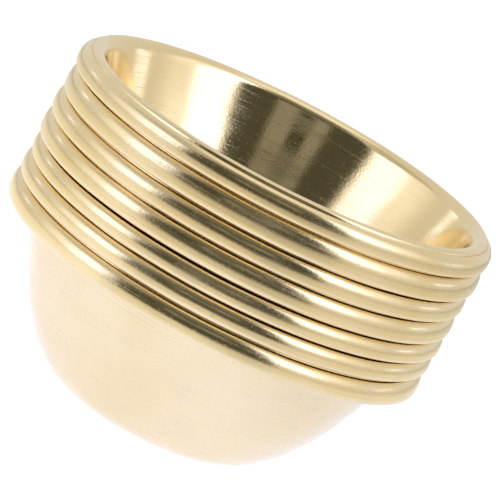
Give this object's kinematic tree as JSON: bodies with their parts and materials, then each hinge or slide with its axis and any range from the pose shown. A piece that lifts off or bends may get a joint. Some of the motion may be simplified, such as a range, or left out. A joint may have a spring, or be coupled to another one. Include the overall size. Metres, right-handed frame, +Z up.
{
  "type": "nested brass bowl set",
  "caption": "Nest of small round-bottomed spun brass bowls, each with a flared lip and a rolled bead round its rim, standing inside one another.",
  "frame": {"origin": "middle of the lowest bowl's flat foot, on the axis that all the bowls share", "axes": "+Z up along the nest's axis, from the lowest foot to the highest rim; X and Y are any two level directions, because the nest is round"},
  "size_m": [0.07, 0.07, 0.0488],
  "materials": {
    "spun_brass": "satin polish with fine brushing round the axis"
  },
  "bodies": {
    "bowl_1": {"bowl_1": "spun_brass"},
    "bowl_2": {"bowl_2": "spun_brass"},
    "bowl_3": {"bowl_3": "spun_brass"},
    "bowl_4": {"bowl_4": "spun_brass"},
    "bowl_5": {"bowl_5": "spun_brass"},
    "bowl_6": {"bowl_6": "spun_brass"},
    "bowl_7": {"bowl_7": "spun_brass"}
  },
  "joints": [
    {"name": "lift_bowl_2", "type": "slide", "parent": "bowl_1", "child": "bowl_2", "axis": [0, 0, 1], "range_m": [0, 0.028]},
    {"name": "lift_bowl_3", "type": "slide", "parent": "bowl_2", "child": "bowl_3", "axis": [0, 0, 1], "range_m": [0, 0.028]},
    {"name": "lift_bowl_4", "type": "slide", "parent": "bowl_3", "child": "bowl_4", "axis": [0, 0, 1], "range_m": [0, 0.028]},
    {"name": "lift_bowl_5", "type": "slide", "parent": "bowl_4", "child": "bowl_5", "axis": [0, 0, 1], "range_m": [0, 0.028]},
    {"name": "lift_bowl_6", "type": "slide", "parent": "bowl_5", "child": "bowl_6", "axis": [0, 0, 1], "range_m": [0, 0.028]},
    {"name": "lift_bowl_7", "type": "slide", "parent": "bowl_6", "child": "bowl_7", "axis": [0, 0, 1], "range_m": [0, 0.028]}
  ]
}
